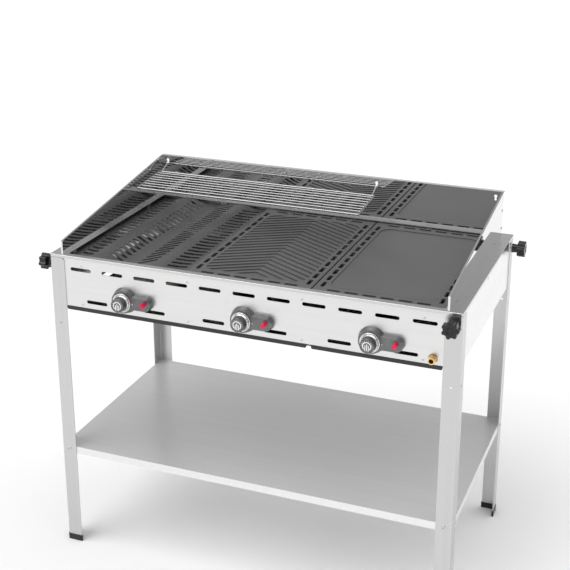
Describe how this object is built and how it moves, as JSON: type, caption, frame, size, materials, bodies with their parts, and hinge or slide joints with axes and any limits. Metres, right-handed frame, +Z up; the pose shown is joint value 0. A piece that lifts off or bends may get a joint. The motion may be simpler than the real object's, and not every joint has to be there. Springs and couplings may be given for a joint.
{
  "type": "charbroiler grill",
  "caption": "Free-standing gas charbroiler with lift-out cooking inserts, wind guard, warming rack, push-and-turn controls, igniters, slide-out drip pans and an open shelf.",
  "frame": {"origin": "on the floor at the middle of the whole grill's footprint", "axes": "+Z up, -Y the control side where the cook stands, +X to that person's right"},
  "size_m": [1.122, 0.64, 0.939],
  "materials": {
    "brushed_panel": "fine brushed stainless",
    "polished_side": "satin stainless",
    "rim_steel": "satin stainless rim",
    "galvanised": "galvanised sheet",
    "fastener_steel": "plated fasteners",
    "leg_steel": "brushed stainless angle",
    "shelf_steel": "brushed stainless shelf",
    "black_plastic": "moulded black plastic",
    "zinc_washer": "zinc plate",
    "mirror_steel": "mirror polished stainless",
    "chrome_wire": "chrome plated wire",
    "grid_steel": "polished stainless cooking grid",
    "black_enamel": "dark satin enamel on cast iron",
    "carrier_black": "black enamel",
    "pan_steel": "pressed stainless pan",
    "bezel_grey": "dark grey satin surround",
    "knob_grey": "dark metallic knob",
    "ring_silver": "turned silver ring",
    "button_red": "red push button",
    "igniter_black": "black plastic barrel",
    "brass": "turned brass",
    "pipe_steel": "zinc coated pipe",
    "burner_steel": "heat tinted stainless",
    "ceramic": "white ceramic insulator"
  },
  "bodies": {
    "frame": {"front_panel": "brushed_panel", "rear_panel": "brushed_panel", "side_panel_left": "polished_side", "side_panel_right": "polished_side", "top_frame": "rim_steel", "insert_supports": "galvanised", "pan_runners": "galvanised", "burner_rails": "galvanised", "star_nuts": "galvanised", "panel_rivets": "fastener_steel", "shelf_bolts": "fastener_steel", "leg_front_right": "leg_steel", "leg_front_left": "leg_steel", "leg_rear_right": "leg_steel", "leg_rear_left": "leg_steel", "shelf": "shelf_steel", "leg_shoes": "black_plastic", "control_bezels": "bezel_grey", "igniter_bodies": "igniter_black", "gas_valves": "brass", "gas_inlet": "brass", "gas_manifold": "pipe_steel", "burners": "burner_steel", "flame_spreaders": "burner_steel", "ignition_electrodes": "ceramic"},
    "star_slide_front_right": {"star_washer_front_right": "zinc_washer"},
    "star_turn_front_right": {"star_knob_front_right": "black_plastic"},
    "star_slide_front_left": {"star_washer_front_left": "zinc_washer"},
    "star_turn_front_left": {"star_knob_front_left": "black_plastic"},
    "star_slide_rear_right": {"star_washer_rear_right": "zinc_washer"},
    "star_turn_rear_right": {"star_knob_rear_right": "black_plastic"},
    "star_slide_rear_left": {"star_washer_rear_left": "zinc_washer"},
    "star_turn_rear_left": {"star_knob_rear_left": "black_plastic"},
    "knob_push_left": {"spring_seat_left": "zinc_washer"},
    "knob_turn_left": {"control_knob_left": "knob_grey", "knob_ring_left": "ring_silver", "valve_spindle_left": "zinc_washer"},
    "igniter_left": {"igniter_button_left": "button_red"},
    "knob_push_middle": {"spring_seat_middle": "zinc_washer"},
    "knob_turn_middle": {"control_knob_middle": "knob_grey", "knob_ring_middle": "ring_silver", "valve_spindle_middle": "zinc_washer"},
    "igniter_middle": {"igniter_button_middle": "button_red"},
    "knob_push_right": {"spring_seat_right": "zinc_washer"},
    "knob_turn_right": {"control_knob_right": "knob_grey", "knob_ring_right": "ring_silver", "valve_spindle_right": "zinc_washer"},
    "igniter_right": {"igniter_button_right": "button_red"},
    "pan_double": {"pan_carrier_double": "carrier_black", "drip_pan_double": "pan_steel"},
    "pan_single": {"pan_carrier_single": "carrier_black", "drip_pan_single": "pan_steel"},
    "wave_grid": {"wave_grid": "grid_steel"},
    "ribbed_plate": {"ribbed_plate": "black_enamel"},
    "griddle_plate": {"griddle_plate": "black_enamel"},
    "wind_guard": {"wind_guard_left": "mirror_steel", "wind_guard_right": "mirror_steel", "wind_guard_back": "mirror_steel", "wind_guard_screws": "fastener_steel"},
    "warming_rack": {"warming_rack": "chrome_wire"}
  },
  "joints": [
    {"name": "star_travel_front_right", "type": "slide", "parent": "frame", "child": "star_slide_front_right", "axis": [0, -1, 0], "range_m": [0, 0.0075]},
    {"name": "star_spin_front_right", "type": "hinge", "parent": "star_slide_front_right", "child": "star_turn_front_right", "pos_m": [0.505, -0.28, 0.795], "axis": [0, -1, 0], "range_deg": [0, 2161]},
    {"name": "star_travel_front_left", "type": "slide", "parent": "frame", "child": "star_slide_front_left", "axis": [-1, 0, 0], "range_m": [0, 0.0075]},
    {"name": "star_spin_front_left", "type": "hinge", "parent": "star_slide_front_left", "child": "star_turn_front_left", "pos_m": [-0.525, -0.26, 0.795], "axis": [-1, 0, 0], "range_deg": [0, 2161]},
    {"name": "star_travel_rear_right", "type": "slide", "parent": "frame", "child": "star_slide_rear_right", "axis": [1, 0, 0], "range_m": [0, 0.0075]},
    {"name": "star_spin_rear_right", "type": "hinge", "parent": "star_slide_rear_right", "child": "star_turn_rear_right", "pos_m": [0.525, 0.264, 0.795], "axis": [1, 0, 0], "range_deg": [0, 2161]},
    {"name": "star_travel_rear_left", "type": "slide", "parent": "frame", "child": "star_slide_rear_left", "axis": [0, 1, 0], "range_m": [0, 0.0075]},
    {"name": "star_spin_rear_left", "type": "hinge", "parent": "star_slide_rear_left", "child": "star_turn_rear_left", "pos_m": [-0.505, 0.284, 0.795], "axis": [0, 1, 0], "range_deg": [0, 2161]},
    {"name": "press_knob_left", "type": "slide", "parent": "frame", "child": "knob_push_left", "axis": [0, 1, 0], "range_m": [0, 0.0035], "stiffness_N_per_m": 1200, "springref_m": -0.003},
    {"name": "turn_knob_left", "type": "hinge", "parent": "knob_push_left", "child": "knob_turn_left", "pos_m": [-0.318, -0.3, 0.729], "axis": [0, -1, 0], "range_deg": [0, 180]},
    {"name": "push_igniter_left", "type": "slide", "parent": "frame", "child": "igniter_left", "axis": [0, 1, 0], "range_m": [0, 0.005], "stiffness_N_per_m": 900, "springref_m": -0.002},
    {"name": "press_knob_middle", "type": "slide", "parent": "frame", "child": "knob_push_middle", "axis": [0, 1, 0], "range_m": [0, 0.0035], "stiffness_N_per_m": 1200, "springref_m": -0.003},
    {"name": "turn_knob_middle", "type": "hinge", "parent": "knob_push_middle", "child": "knob_turn_middle", "pos_m": [0, -0.3, 0.729], "axis": [0, -1, 0], "range_deg": [0, 180]},
    {"name": "push_igniter_middle", "type": "slide", "parent": "frame", "child": "igniter_middle", "axis": [0, 1, 0], "range_m": [0, 0.005], "stiffness_N_per_m": 900, "springref_m": -0.002},
    {"name": "press_knob_right", "type": "slide", "parent": "frame", "child": "knob_push_right", "axis": [0, 1, 0], "range_m": [0, 0.0035], "stiffness_N_per_m": 1200, "springref_m": -0.003},
    {"name": "turn_knob_right", "type": "hinge", "parent": "knob_push_right", "child": "knob_turn_right", "pos_m": [0.318, -0.3, 0.729], "axis": [0, -1, 0], "range_deg": [0, 180]},
    {"name": "push_igniter_right", "type": "slide", "parent": "frame", "child": "igniter_right", "axis": [0, 1, 0], "range_m": [0, 0.005], "stiffness_N_per_m": 900, "springref_m": -0.002},
    {"name": "slide_pan_double", "type": "slide", "parent": "frame", "child": "pan_double", "axis": [0, -1, 0], "range_m": [0, 0.42]},
    {"name": "slide_pan_single", "type": "slide", "parent": "frame", "child": "pan_single", "axis": [0, -1, 0], "range_m": [0, 0.42]},
    {"name": "lift_wave_grid", "type": "slide", "parent": "frame", "child": "wave_grid", "axis": [0, 0, 1], "range_m": [0, 0.045]},
    {"name": "lift_ribbed_plate", "type": "slide", "parent": "frame", "child": "ribbed_plate", "axis": [0, 0, 1], "range_m": [0, 0.045]},
    {"name": "lift_griddle_plate", "type": "slide", "parent": "frame", "child": "griddle_plate", "axis": [0, 0, 1], "range_m": [0, 0.12]},
    {"name": "lift_wind_guard", "type": "slide", "parent": "frame", "child": "wind_guard", "axis": [0, 0, 1], "range_m": [0, 0.15]},
    {"name": "tilt_warming_rack", "type": "hinge", "parent": "wind_guard", "child": "warming_rack", "pos_m": [0, 0.2742, 0.917], "axis": [-1, 0, 0], "range_deg": [0, 60]}
  ],
  "couplings": [
    {"joint": "star_spin_front_right", "follows": "star_travel_front_right", "rad_per_m": 5026.5},
    {"joint": "star_spin_front_left", "follows": "star_travel_front_left", "rad_per_m": 5026.5},
    {"joint": "star_spin_rear_right", "follows": "star_travel_rear_right", "rad_per_m": 5026.5},
    {"joint": "star_spin_rear_left", "follows": "star_travel_rear_left", "rad_per_m": 5026.5}
  ]
}
